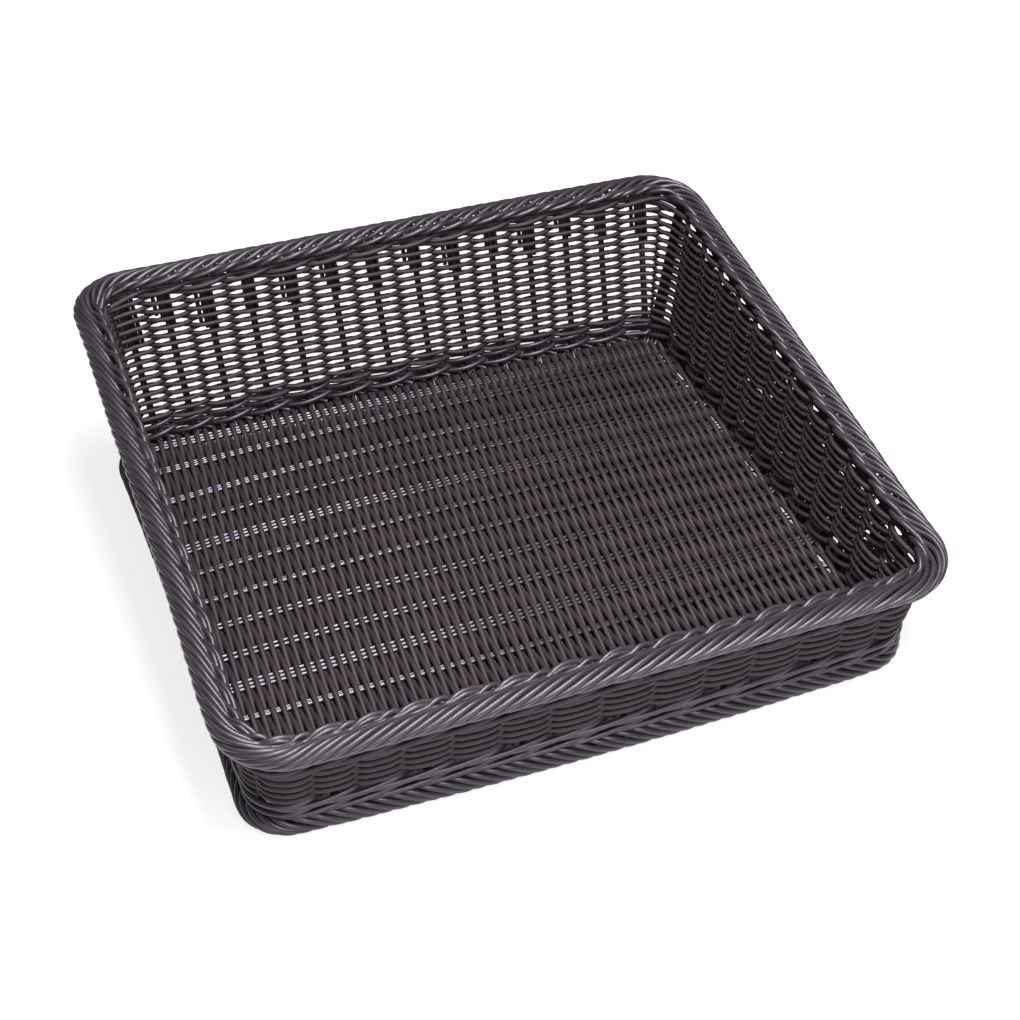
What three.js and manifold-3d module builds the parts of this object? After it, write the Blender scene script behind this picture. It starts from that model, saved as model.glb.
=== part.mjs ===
import * as THREE from 'three';
import { mergeVertices } from 'three/addons/utils/BufferGeometryUtils.js';
import Module from 'manifold-3d';

// A sloping display basket woven from round plastic rattan strand. Millimetres, +Z up.
// The origin is on the floor under the middle of the rim. +X runs to the right along the
// low front side, +Y to the high back side.

// Overall sizes; the heights are those of the rim's top at the back and at the front
const rimLength = 400;
const rimDepth = 365;
const backHeight = 125;
const frontHeight = 75;

// The strand, and the flat groups of strands that stand in the weave as stakes
const strand = 2.8;
const strandsPerStake = 3;
const stakeWidth = strandsPerStake * strand;
const wallThickness = 3 * strand;

// Rolled rim border: its reach to the outside and over the wall, both from its centre line,
// and how far that line lies outside the middle of the wall
const rimRollOut = 7.5;
const rimRollIn = 9.5;
const rimRollHeight = 13;
const rimCornerRadius = 36;
const rimSideBow = 0.5;
const rimOverhang = 7;

// Foot border and the band of heavier weave on it. The foot is smaller than the rim all
// round, and the whole base sits a little towards the back.
const footInset = 9.5;
const footWidth = 10.5;
const footHeight = 12;
const footCornerRadius = 28;
const footSideBow = 1;
const footShiftBack = 2.5;
const waleHeight = 11;
const waleInset = 0.6;
const floorCut = 0.5;

// Base weave
const baseLift = 1;
const baseThickness = wallThickness;

// Openings through the base weave, in a grid with one row between each two side stakes: how
// many stand side by side, and the weave left at the ends of a row and beside a stake
const baseOpeningColumns = 8;
const baseOpeningWidth = 3.5;
const baseOpeningMargin = 30;
const baseOpeningBorder = 2;

// Stakes: how many, how far the outermost ones stand from the ends of the rim, how they
// bend up and how far they reach into the base
const sideStakes = 13;
const sideStakeMargin = 38.5;
const sideStakeShift = 3.5;
const endStakes = 14;
const endStakeMargin = 37.5;
const stakeBendRadius = 7;
const stakeTuck = 6;

// Clearances between neighbouring pieces, and the room round a stake in its channel
const seatGap = 0.3;
const stakeClearance = 0.3;
const baseEdgeGap = 0.9;

// The lay of the borders: each lobe is the bundle that starts at one stake
const rimLobeDepth = 0.8;
const rimLobeSteps = 3;
const rimSectionSides = 8;
const footLobeDepth = 0.8;
const footLobeSteps = 2;
const footSectionSides = 6;

// How finely curves are divided
const sideSteps = 4;
const cornerSteps = 6;
const bendSteps = 2;

// Sizes and heights that the values above settle
const footLength = rimLength - 2 * footInset;
const footDepth = rimDepth - 2 * footInset;
const sideStakePitch = (rimDepth - 2 * sideStakeMargin) / (sideStakes - 1);
const endStakePitch = (rimLength - 2 * endStakeMargin) / (endStakes - 1);
const sideStakeMiddle = footShiftBack + sideStakeShift;
const baseTop = baseLift + baseThickness;
const baseMiddle = baseLift + baseThickness / 2;
const waleBottom = footHeight + seatGap;
const waleTop = waleBottom + waleHeight;
const weaveBottom = waleTop + seatGap;

const colour = {
  weave: 0x4a4346,
  stake: 0x3c3538,
  border: 0x5c545a,
};

// A plan outline seen from above: four sides that bow out a little and four round corners,
// as eight curves in order, anticlockwise from the right-hand side.
function planOutline({ halfX, halfY, radius, bow, shiftY = 0 }) {
  const x = halfX - radius;
  const y = halfY - radius;
  const point = (px, py) => new THREE.Vector2(px, py + shiftY);
  const side = (a, pull, b) => new THREE.QuadraticBezierCurve(point(...a), point(...pull), point(...b));
  const corner = (cx, cy, quarter) => new THREE.EllipseCurve(
    cx, cy + shiftY, radius, radius, quarter * Math.PI / 2, (quarter + 1) * Math.PI / 2, false, 0);
  const outline = new THREE.CurvePath();
  outline.curves.push(
    side([halfX, -y], [halfX + 2 * bow, 0], [halfX, y]),
    corner(x, y, 0),
    side([x, halfY], [0, halfY + 2 * bow], [-x, halfY]),
    corner(-x, y, 1),
    side([-halfX, y], [-halfX - 2 * bow, 0], [-halfX, -y]),
    corner(-x, -y, 2),
    side([-x, -halfY], [0, -halfY - 2 * bow], [x, -halfY]),
    corner(x, -y, 3),
  );
  outline.sizes = { halfX, halfY, radius, bow, shiftY };
  return outline;
}

// The same outline moved outwards by a distance.
function grownOutline(outline, distance) {
  const { halfX, halfY, radius, bow, shiftY } = outline.sizes;
  return planOutline({
    halfX: halfX + distance,
    halfY: halfY + distance,
    radius: radius + distance,
    bow,
    shiftY,
  });
}

// How far out a side of the outline lies at a distance across from the middle of that side.
function reach(outline, across, alongX) {
  const { halfX, halfY, radius, bow } = outline.sizes;
  const straight = (alongX ? halfX : halfY) - radius;
  const out = alongX ? halfY : halfX;
  const past = Math.abs(across) - straight;
  if (past > 0) return out - radius + Math.sqrt(radius * radius - past * past);
  return out + bow * (1 - (across / straight) ** 2);
}

// Points along each of the eight curves, so that two outlines match point for point.
function planPoints(outline) {
  return outline.curves.flatMap((curve, index) => {
    const steps = index % 2 === 0 ? sideSteps : cornerSteps;
    return Array.from({ length: steps }, (_, i) => {
      const p = curve.getPoint(i / steps);
      const t = curve.getTangent(i / steps);
      return { x: p.x, y: p.y, nx: t.y, ny: -t.x };
    });
  });
}

// Height of the middle of the rim roll, which falls from back to front.
const rimRollPlan = planOutline({
  halfX: rimLength / 2 - rimRollOut - rimSideBow,
  halfY: rimDepth / 2 - rimRollOut - rimSideBow,
  radius: rimCornerRadius - rimRollOut,
  bow: rimSideBow,
});

function rimMiddle(y) {
  const rollReach = rimDepth / 2 - rimRollOut;
  const slope = (backHeight - frontHeight) / (2 * rollReach);
  return frontHeight + slope * (y + rollReach) - rimRollHeight / 2;
}

// The wall leans between these two outlines of its middle layer: one where the stakes rise
// from the foot and one under the rim roll.
const wallTopPlan = grownOutline(rimRollPlan, -rimOverhang);
const footPlan = planOutline({
  halfX: footLength / 2 - footWidth / 2 - footSideBow,
  halfY: footDepth / 2 - footWidth / 2 - footSideBow,
  radius: footCornerRadius - footWidth / 2,
  bow: footSideBow,
  shiftY: footShiftBack,
});

// Where the weave stops under the rim roll.
const weaveTop = (y) => rimMiddle(y) - rimRollHeight / 2 - seatGap;

// A closed solid from rings of points. Each ring is one section; the sections follow each
// other and either join up in a loop or end in two flat caps.
function loftGeometry(rings, closed) {
  const count = rings.length;
  const sides = rings[0].length;
  const vertices = rings.flatMap((ring) => ring.flatMap((p) => [p.x, p.y, p.z]));
  const triangles = [];
  const steps = closed ? count : count - 1;
  for (let i = 0; i < steps; i += 1) {
    for (let j = 0; j < sides; j += 1) {
      const a = i * sides + j;
      const b = i * sides + (j + 1) % sides;
      const c = ((i + 1) % count) * sides + (j + 1) % sides;
      const d = ((i + 1) % count) * sides + j;
      triangles.push(a, b, c, a, c, d);
    }
  }
  if (!closed) {
    for (let j = 1; j < sides - 1; j += 1) {
      const last = (count - 1) * sides;
      triangles.push(0, j + 1, j);
      triangles.push(last, last + j, last + j + 1);
    }
  }
  const geometry = new THREE.BufferGeometry();
  geometry.setAttribute('position', new THREE.Float32BufferAttribute(vertices, 3));
  geometry.setIndex(triangles);
  return facingOut(geometry);
}

// Turns the triangles round where the solid would face inwards.
function facingOut(geometry) {
  const position = geometry.getAttribute('position');
  const index = geometry.getIndex();
  const [a, b, c] = [new THREE.Vector3(), new THREE.Vector3(), new THREE.Vector3()];
  let volume = 0;
  for (let i = 0; i < index.count; i += 3) {
    a.fromBufferAttribute(position, index.getX(i));
    b.fromBufferAttribute(position, index.getX(i + 1));
    c.fromBufferAttribute(position, index.getX(i + 2));
    volume += a.dot(b.cross(c));
  }
  if (volume < 0) {
    for (let i = 0; i < index.count; i += 3) {
      const second = index.getX(i + 1);
      index.setX(i + 1, index.getX(i + 2));
      index.setX(i + 2, second);
    }
  }
  return geometry;
}

// Solids for cutting and joining
const wasm = await Module();
wasm.setup();

function toSolid(geometry) {
  const bare = geometry.clone();
  bare.deleteAttribute('normal');
  bare.deleteAttribute('uv');
  const merged = mergeVertices(bare, 1e-4);
  return new wasm.Manifold(new wasm.Mesh({
    numProp: 3,
    vertProperties: new Float32Array(merged.getAttribute('position').array),
    triVerts: new Uint32Array(merged.getIndex().array),
  }));
}

function toGeometry(solid) {
  const mesh = solid.getMesh();
  const geometry = new THREE.BufferGeometry();
  geometry.setAttribute('position', new THREE.BufferAttribute(mesh.vertProperties, 3));
  geometry.setIndex(new THREE.BufferAttribute(mesh.triVerts, 1));
  return geometry;
}

function boxSolid(low, high) {
  const size = low.map((v, i) => high[i] - v);
  const box = new THREE.BoxGeometry(...size);
  box.translate(...low.map((v, i) => v + size[i] / 2));
  return toSolid(box);
}

// An oval of one unit's reach each way, with a flat top and a flat underside.
function ovalSection(sides) {
  const angles = Array.from({ length: sides }, (_, j) => Math.PI / 2 + (j + 0.5) * 2 * Math.PI / sides);
  const widest = Math.max(...angles.map((angle) => Math.cos(angle)));
  const tallest = Math.max(...angles.map((angle) => Math.sin(angle)));
  return angles.map((angle) => [Math.cos(angle) / widest, Math.sin(angle) / tallest]);
}

// Border roll with slanting lobes. The section is an oval round the plan outline; each
// crest winds round it, so that one turn takes it forward by `wraps` lobes.
function lobedRoll({ plan, middle, reachOut, reachIn, halfHeight, lobes, lobeDepth, lobeSteps, sides, wraps }) {
  const count = lobes * lobeSteps;
  const shift = wraps / (lobes * sides);
  const section = ovalSection(sides);
  return Array.from({ length: count }, (_, i) => {
    const shrink = lobeDepth * (i % lobeSteps) / lobeSteps;
    return section.map(([wide, tall], j) => {
      const u = ((i / count + j * shift) % 1 + 1) % 1;
      const p = plan.getPoint(u);
      const t = plan.getTangent(u);
      const out = wide * ((wide > 0 ? reachOut : reachIn) - shrink);
      const up = tall * (halfHeight - shrink);
      const y = p.y - t.x * out;
      return new THREE.Vector3(p.x + t.y * out, y, middle(y) + up);
    });
  });
}

// The lobed loft closes on itself a few sections on, because the crests wind. Each facet is
// split along its shorter diagonal, which keeps the roll round at the corners.
function lobedGeometry(rings, turn) {
  const count = rings.length;
  const sides = rings[0].length;
  const vertices = rings.flatMap((ring) => ring.flatMap((p) => [p.x, p.y, p.z]));
  const at = (i, j) => {
    const section = j === sides ? i + turn : i;
    return (((section % count) + count) % count) * sides + j % sides;
  };
  const triangles = [];
  for (let i = 0; i < count; i += 1) {
    for (let j = 0; j < sides; j += 1) {
      const [a, b, c, d] = [at(i, j), at(i, j + 1), at(i + 1, j + 1), at(i + 1, j)];
      if (turn > 0) triangles.push(a, b, d, b, c, d);
      else triangles.push(a, b, c, a, c, d);
    }
  }
  const geometry = new THREE.BufferGeometry();
  geometry.setAttribute('position', new THREE.Float32BufferAttribute(vertices, 3));
  geometry.setIndex(triangles);
  return facingOut(geometry);
}

const stakeCount = 2 * sideStakes + 2 * endStakes;

// Rolled rim border: bundles of strand laid slanting over the roll, one from each stake.
function rimBorder() {
  const wraps = 4;
  const rings = lobedRoll({
    plan: rimRollPlan,
    middle: rimMiddle,
    reachOut: rimRollOut,
    reachIn: rimRollIn,
    halfHeight: rimRollHeight / 2,
    lobes: stakeCount,
    lobeDepth: rimLobeDepth,
    lobeSteps: rimLobeSteps,
    sides: rimSectionSides,
    wraps,
  });
  return lobedGeometry(rings, wraps * rimLobeSteps);
}

// Stakes. A stake lies in an upright plane across the wall: `out` is its distance from the
// middle of the basket in that plane and `across` its place along the side.
function stakeLine(across, alongX, sign) {
  const shift = alongX ? sign * footShiftBack : 0;
  const y = alongX ? sign * rimDepth / 2 : across;
  const lowPoint = reach(footPlan, alongX ? across : across - footShiftBack, alongX) + shift;
  const highPoint = reach(wallTopPlan, across, alongX);
  const edgeY = alongX ? sign * highPoint : y - stakeWidth / 2;
  const top = weaveTop(edgeY);
  const lean = (highPoint - lowPoint) / (rimMiddle(edgeY) - baseMiddle);
  return { top, lean, lowPoint };
}

// The bend from the base up into the wall, and the straight run to the rim.
function risingPoints(across, alongX, sign) {
  const { top, lean, lowPoint } = stakeLine(across, alongX, sign);
  const points = [[lowPoint + lean * (top - baseMiddle), top]];
  const turn = Math.PI / 2 - Math.atan(lean);
  const centreOut = lowPoint - stakeBendRadius * Math.tan(turn / 2);
  const centreUp = baseMiddle + stakeBendRadius;
  for (let i = 0; i <= bendSteps; i += 1) {
    const angle = turn * (1 - i / bendSteps);
    points.push([centreOut + stakeBendRadius * Math.sin(angle), centreUp - stakeBendRadius * Math.cos(angle)]);
  }
  return points;
}

// A flat bundle swept along points in its upright plane. The section is given by pairs of
// across and thick distances.
function bundleGeometry(points, section, place) {
  const rings = points.map(([out, up], i) => {
    const before = points[Math.max(i - 1, 0)];
    const after = points[Math.min(i + 1, points.length - 1)];
    const along = new THREE.Vector2(after[0] - before[0], after[1] - before[1]).normalize();
    const inwards = i === 0 || i === points.length - 1 ? 1 : bendStretch(before, [out, up], after);
    return section.map(([wide, thick]) => place(
      out - along.y * thick * inwards, up + along.x * thick * inwards, wide));
  });
  return loftGeometry(rings, false);
}

// Keeps the bundle's thickness where its line turns.
function bendStretch(before, here, after) {
  const first = new THREE.Vector2(here[0] - before[0], here[1] - before[1]);
  const second = new THREE.Vector2(after[0] - here[0], after[1] - here[1]);
  const turn = first.angleTo(second);
  return 1 / Math.cos(turn / 2);
}

// Section of a flat group of strands, or of its channel with the clearance round it.
function stakeSection(clearance) {
  const wide = stakeWidth / 2 + clearance;
  const thick = strand / 2 + clearance;
  return [[wide, thick], [-wide, thick], [-wide, -thick], [wide, -thick]];
}

// A side stake runs from the rim down the left wall, across the base and up the right wall.
function sideStakePoints(across) {
  const half = risingPoints(across, false, 1);
  const mirrored = half.map(([out, up]) => [-out, up]).reverse();
  return [...half, ...mirrored];
}

// A front or back stake is tucked into the edge of the base and rises to the rim.
function endStakePoints(across, sign) {
  const points = risingPoints(across, true, sign);
  const [bendOut] = points[points.length - 1];
  points.push([bendOut - stakeTuck, baseMiddle]);
  return points;
}

// Carries a line's top on past the rim's underside, so that its channel comes out.
function lengthened(points, extra, bothEnds) {
  const long = points.map((p) => [...p]);
  const stretch = (end, next) => {
    const along = new THREE.Vector2(end[0] - next[0], end[1] - next[1]).normalize();
    end[0] += along.x * extra;
    end[1] += along.y * extra;
  };
  stretch(long[0], long[1]);
  if (bothEnds) stretch(long[long.length - 1], long[long.length - 2]);
  return long;
}

const channelRunOut = rimRollHeight;

function spread(count, pitch, shift) {
  return Array.from({ length: count }, (_, i) => (i - (count - 1) / 2) * pitch + shift);
}

// Every stake as its name, its solid and the channel that it needs in the weave.
function allStakes() {
  const stakes = [];
  const twoDigits = (i) => String(i + 1).padStart(2, '0');
  spread(sideStakes, sideStakePitch, sideStakeMiddle).forEach((y, i) => {
    const place = (out, up, wide) => new THREE.Vector3(out, y + wide, up);
    const points = sideStakePoints(y);
    stakes.push({
      name: `side_stake_${twoDigits(i)}`,
      solid: bundleGeometry(points, stakeSection(0), place),
      channel: bundleGeometry(lengthened(points, channelRunOut, true), stakeSection(stakeClearance), place),
    });
  });
  for (const [label, sign] of [['front', -1], ['back', 1]]) {
    spread(endStakes, endStakePitch, 0).forEach((x, i) => {
      const place = (out, up, wide) => new THREE.Vector3(x + wide, sign * out, up);
      const points = endStakePoints(x, sign);
      const roomy = lengthened(points, channelRunOut, false);
      roomy[roomy.length - 1][0] -= stakeClearance;
      stakes.push({
        name: `${label}_stake_${twoDigits(i)}`,
        solid: bundleGeometry(points, stakeSection(0), place),
        channel: bundleGeometry(roomy, stakeSection(stakeClearance), place),
      });
    });
  }
  return stakes;
}

// The wall weave: one leaning layer that follows both outlines, with its top under the rim.
function wallWeave() {
  const low = planPoints(footPlan);
  const high = planPoints(wallTopPlan);
  const rings = low.map((p, i) => {
    const q = high[i];
    const rise = rimMiddle(q.y) - baseMiddle;
    const corner = (height, side) => {
      const k = (height - baseMiddle) / rise;
      const nx = p.nx + (q.nx - p.nx) * k;
      const ny = p.ny + (q.ny - p.ny) * k;
      return new THREE.Vector3(
        p.x + (q.x - p.x) * k + nx * side * wallThickness / 2,
        p.y + (q.y - p.y) * k + ny * side * wallThickness / 2,
        height,
      );
    };
    const top = (side) => weaveTop(q.y + q.ny * side * wallThickness / 2);
    return [corner(weaveBottom, -1), corner(weaveBottom, 1), corner(top(1), 1), corner(top(-1), -1)];
  });
  return loftGeometry(rings, true);
}

// A band round the basket with a rounded section between two heights.
function bandGeometry(plan, halfWidth, bottom, top) {
  const middle = (bottom + top) / 2;
  const halfHeight = (top - bottom) / 2;
  const flat = halfWidth - strand / 2;
  const section = [
    [-flat, -halfHeight], [flat, -halfHeight], [halfWidth, 0],
    [flat, halfHeight], [-flat, halfHeight], [-halfWidth, 0],
  ];
  const rings = planPoints(plan).map((p) => section.map(([out, up]) => new THREE.Vector3(
    p.x + p.nx * out, p.y + p.ny * out, middle + up)));
  return loftGeometry(rings, true);
}

// Foot border: a roll like the rim's that slants the other way, cut flat where it stands.
function footBorder() {
  const wraps = -2;
  const halfHeight = (footHeight + floorCut) / 2;
  const rings = lobedRoll({
    plan: footPlan,
    middle: () => footHeight - halfHeight,
    reachOut: footWidth / 2,
    reachIn: footWidth / 2,
    halfHeight,
    lobes: stakeCount,
    lobeDepth: footLobeDepth,
    lobeSteps: footLobeSteps,
    sides: footSectionSides,
    wraps,
  });
  const roll = toSolid(lobedGeometry(rings, wraps * footLobeSteps));
  const aboveFloor = boxSolid([-rimLength, -rimDepth, 0], [rimLength, rimDepth, backHeight]);
  return roll.intersect(aboveFloor);
}

// The gaps between strands where the base weave can be seen through, as blocks to cut out.
function baseOpenings() {
  const length = sideStakePitch - stakeWidth - 2 * (stakeClearance + baseOpeningBorder);
  const columnPitch = (footLength - 2 * baseOpeningMargin) / (baseOpeningColumns - 1);
  const columns = spread(baseOpeningColumns, columnPitch, 0);
  const rows = spread(sideStakes - 1, sideStakePitch, sideStakeMiddle);
  const blocks = rows.flatMap((y) => columns.map((x) => boxSolid(
    [x - baseOpeningWidth / 2, y - length / 2, 0],
    [x + baseOpeningWidth / 2, y + length / 2, baseTop + baseLift],
  )));
  return wasm.Manifold.union(blocks);
}

// Base weave: a flat mat with openings that ends just inside the foot border.
function baseWeave() {
  const edge = grownOutline(footPlan, -footWidth / 2 - baseEdgeGap);
  const plan = planPoints(edge).map((p) => new THREE.Vector2(p.x, p.y));
  const mat = new THREE.ExtrudeGeometry(new THREE.Shape(plan), { depth: baseThickness, bevelEnabled: false });
  mat.translate(0, 0, baseLift);
  return toSolid(mat).subtract(baseOpenings());
}

// The wall weave is taken apart into four sides and four corners, midway between stakes.
function wallPanels(wall) {
  const splitX = (endStakes / 2 - 1) * endStakePitch;
  const splitHigh = sideStakeMiddle + (sideStakes / 2 - 1) * sideStakePitch;
  const splitLow = sideStakeMiddle - (sideStakes / 2 - 1) * sideStakePitch;
  const far = rimLength;
  const g = seatGap / 2;
  const spans = {
    left: [-far, -splitX - g],
    middle: [-splitX + g, splitX - g],
    right: [splitX + g, far],
  };
  const rows = {
    front: [-far, splitLow - g],
    middle: [splitLow + g, splitHigh - g],
    back: [splitHigh + g, far],
  };
  const cut = (x, y) => wall.intersect(boxSolid([x[0], y[0], 0], [x[1], y[1], backHeight]));
  return {
    front_wall_weave: cut(spans.middle, rows.front),
    back_wall_weave: cut(spans.middle, rows.back),
    left_wall_weave: cut(spans.left, rows.middle),
    right_wall_weave: cut(spans.right, rows.middle),
    front_left_corner_weave: cut(spans.left, rows.front),
    front_right_corner_weave: cut(spans.right, rows.front),
    back_left_corner_weave: cut(spans.left, rows.back),
    back_right_corner_weave: cut(spans.right, rows.back),
  };
}

// Assembly
const basket = new THREE.Group();
basket.name = 'poly_rattan_basket';

function addPiece(name, geometry, tone, roughness) {
  const material = new THREE.MeshStandardMaterial({ color: tone, roughness, metalness: 0 });
  const mesh = new THREE.Mesh(geometry, material);
  mesh.name = name;
  basket.add(mesh);
}

const stakes = allStakes();
const channels = stakes.map((stake) => toSolid(stake.channel)).reduce((all, one) => all.add(one));

addPiece('base_weave', toGeometry(baseWeave().subtract(channels)), colour.weave, 0.5);
addPiece('foot_border', toGeometry(footBorder().subtract(channels)), colour.border, 0.4);

const wale = toSolid(bandGeometry(footPlan, footWidth / 2 - waleInset, waleBottom, waleTop));
addPiece('bottom_wale', toGeometry(wale.subtract(channels)), colour.border, 0.4);

const walls = wallPanels(toSolid(wallWeave()).subtract(channels));
for (const [name, solid] of Object.entries(walls)) {
  addPiece(name, toGeometry(solid), colour.weave, 0.5);
}
for (const stake of stakes) {
  addPiece(stake.name, stake.solid, colour.stake, 0.45);
}
addPiece('rim_border', rimBorder(), colour.border, 0.4);

export default basket;
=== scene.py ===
import math
import bpy
import numpy as np
from mathutils import Matrix, Vector


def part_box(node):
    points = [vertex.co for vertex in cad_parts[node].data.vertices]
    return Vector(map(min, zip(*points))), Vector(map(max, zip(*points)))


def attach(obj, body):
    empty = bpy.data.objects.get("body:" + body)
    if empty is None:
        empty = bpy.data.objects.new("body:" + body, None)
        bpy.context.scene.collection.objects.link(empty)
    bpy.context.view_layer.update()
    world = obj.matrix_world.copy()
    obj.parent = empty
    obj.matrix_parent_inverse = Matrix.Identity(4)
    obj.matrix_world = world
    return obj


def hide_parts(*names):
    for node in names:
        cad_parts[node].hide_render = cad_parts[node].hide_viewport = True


# A sloping display basket woven from round plastic rattan strand. Lengths are worked out in
# millimetres and become metres when a piece is made. +Y is the high back side.
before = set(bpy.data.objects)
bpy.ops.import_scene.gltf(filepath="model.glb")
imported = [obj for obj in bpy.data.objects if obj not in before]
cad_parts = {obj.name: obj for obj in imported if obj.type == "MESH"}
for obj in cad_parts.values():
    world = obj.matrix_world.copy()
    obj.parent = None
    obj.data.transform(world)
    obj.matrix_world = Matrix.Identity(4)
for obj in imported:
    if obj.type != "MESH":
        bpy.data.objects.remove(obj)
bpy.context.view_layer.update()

# Side stakes
# Thirteen flat groups of round strand run from the underside of the left rim down the left
# wall, across the base and up the right wall. The weaver lays them out first, and they show
# as bright bars between the strands of the base.
MM = 0.001
STRAND = 2.8
SIDE_STRAND = 3.0
SIDE_STAKES = 13
END_STAKES = 14
# Stakes are counted anticlockwise: right wall, back wall, left wall, front wall.
BACK_FIRST = SIDE_STAKES
LEFT_FIRST = BACK_FIRST + END_STAKES
FRONT_FIRST = LEFT_FIRST + SIDE_STAKES
SEED = 7
rng = np.random.default_rng(SEED)


class Outline:
    """A rounded rectangle with bowed sides, sampled anticlockwise from the right side."""

    def __init__(self, half_x, half_y, radius, side_bow, end_bow, shift_y=0.0):
        self.sizes = (half_x, half_y, radius, side_bow, end_bow, shift_y)
        x, y = half_x - radius, half_y - radius
        side_steps, corner_steps = 60, 24
        sides = [
            ((half_x, -y), (half_x + 2 * side_bow, 0), (half_x, y)),
            ((x, half_y), (0, half_y + 2 * end_bow), (-x, half_y)),
            ((-half_x, y), (-half_x - 2 * side_bow, 0), (-half_x, -y)),
            ((-x, -half_y), (0, -half_y - 2 * end_bow), (x, -half_y)),
        ]
        centres = [(x, y), (-x, y), (-x, -y), (x, -y)]
        points = []
        share = []
        for quarter, ((a, pull, b), centre) in enumerate(zip(sides, centres)):
            t = np.arange(side_steps)[:, None] / side_steps
            a, pull, b = np.array(a), np.array(pull), np.array(b)
            points.append((1 - t) ** 2 * a + 2 * t * (1 - t) * pull + t * t * b)
            share.append((2 * quarter + t[:, 0]) / 8)
            t = np.arange(corner_steps)[:, None] / corner_steps
            angle = (quarter + t) * math.pi / 2
            points.append(np.array(centre) + radius * np.hstack([np.cos(angle), np.sin(angle)]))
            share.append((2 * quarter + 1 + t[:, 0]) / 8)
        self.points = np.vstack(points) + [0, shift_y]
        self.share = np.concatenate(share)
        ahead = np.roll(self.points, -1, axis=0) - np.roll(self.points, 1, axis=0)
        ahead /= np.linalg.norm(ahead, axis=1)[:, None]
        self.normals = np.column_stack([ahead[:, 1], -ahead[:, 0]])
        step = np.linalg.norm(np.roll(self.points, -1, axis=0) - self.points, axis=1)
        self.run = np.concatenate([[0], np.cumsum(step)])
        self.length = self.run[-1]

    def grown(self, distance):
        """The same outline a distance further out."""
        half_x, half_y, radius, *rest = self.sizes
        return Outline(half_x + distance, half_y + distance, radius + distance, *rest)

    def _around(self, key, at, period, values):
        """Rows of values at places in a closed row of keys."""
        keys = np.append(key, key[0] + period)
        rows = np.vstack([values, values[:1]])
        at = np.mod(at, period)
        return np.column_stack([np.interp(at, keys, rows[:, i]) for i in range(rows.shape[1])])

    def at_share(self, share):
        """Points and outward normals at shares of the way round, matched between outlines."""
        return (self._around(self.share, share, 1, self.points),
                self._around(self.share, share, 1, self.normals))

    def at_run(self, run):
        """Points and outward normals at lengths along the outline."""
        return (self._around(self.run[:-1], run, self.length, self.points),
                self._around(self.run[:-1], run, self.length, self.normals))

    def run_of_share(self, share):
        """Length along the outline at shares of the way round."""
        return np.interp(share, np.append(self.share, 1.0), self.run)

    def even_shares(self, count):
        """Shares of the way round that lie at even distances along the outline."""
        run = np.arange(count) * self.length / count
        return np.interp(run, self.run, np.append(self.share, 1.0))


def node_box(name):
    """The corners of a solid, in millimetres."""
    low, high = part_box(name)
    return np.array(low) / MM, np.array(high) / MM


rim_low, rim_high = node_box("rim_border")
rim_half = (rim_high - rim_low) / 2
# The roll reaches this far out from the line through its middle.
RIM_ROLL = 7.5
RIM_BOW = 0.5
RIM_CORNER = 36.0
# The middle of the wall's top stands this far in from that line.
RIM_OVERHANG = 7.0
RIM_HEIGHT = 13.0
RIM_FRONT_TOP = 75.0
RIM_BACK_TOP = 125.0
rim_plan = Outline(rim_half[0] - RIM_ROLL - RIM_BOW, rim_half[1] - RIM_ROLL - RIM_BOW,
                   RIM_CORNER - RIM_ROLL, RIM_BOW, RIM_BOW)
wall_top_plan = rim_plan.grown(-RIM_OVERHANG)
wall_low_plan = Outline(half_x=180.5, half_y=160.0, radius=20.0, side_bow=0.0, end_bow=2.5,
                        shift_y=0.5)
roll_reach = rim_half[1] - RIM_ROLL
BASE_LEVEL = 7.6
LEAN = 1.4
PAST_RIM = 1.05


def rim_middle(y):
    """Height of the middle of the rim roll at a place from front to back."""
    slope = (RIM_BACK_TOP - RIM_FRONT_TOP) / (2 * roll_reach)
    return RIM_FRONT_TOP + slope * (y + roll_reach) - RIM_HEIGHT / 2


def wall_part(share, height):
    """How far up the wall a height is, from 0 at the base to 1 at the rim."""
    high = wall_top_plan.at_share(share)[0]
    part = (height - BASE_LEVEL) / (rim_middle(high[:, 1]) - BASE_LEVEL)
    return np.clip(part, 0, PAST_RIM)


def wall_point(share, height):
    """Middle of the wall's thickness and its outward normal. The wall leans out, less and
    less on the way up."""
    low, low_normal = wall_low_plan.at_share(share)
    high, high_normal = wall_top_plan.at_share(share)
    part = wall_part(share, height)
    ease = (1 - np.maximum(1 - part, 0) ** LEAN)[:, None]
    normal = low_normal + (high_normal - low_normal) * ease
    return low + (high - low) * ease, normal / np.linalg.norm(normal, axis=1)[:, None]


# Places of the stakes along each wall, at the foot of the wall and under the rim.
SIDE_LOW = [-134.5, -110, -86.5, -63, -39.5, -14.5, 8, 32.5, 55, 79, 101, 131, 155]
SIDE_HIGH = [6 + 24 * place for place in range(-6, 7)]
FRONT_PLACES = [-166.1, -144.7, -122.2, -96.5, -70.5, -44.7, -17.3, 11.5, 40.8, 69.9, 97.5, 124,
                148, 168.3]
BACK_LOW = [-161, -137.5, -113, -88, -62, -33.5, -6, 21, 45.5, 70.5, 94.5, 119.5, 144, 171]
BACK_HIGH = [-170.2, -146.5, -121.3, -95, -68.7, -43.5, -17.5, 9.5, 35, 60.5, 86, 111, 135, 160]
SEARCH_STEPS = 400


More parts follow.
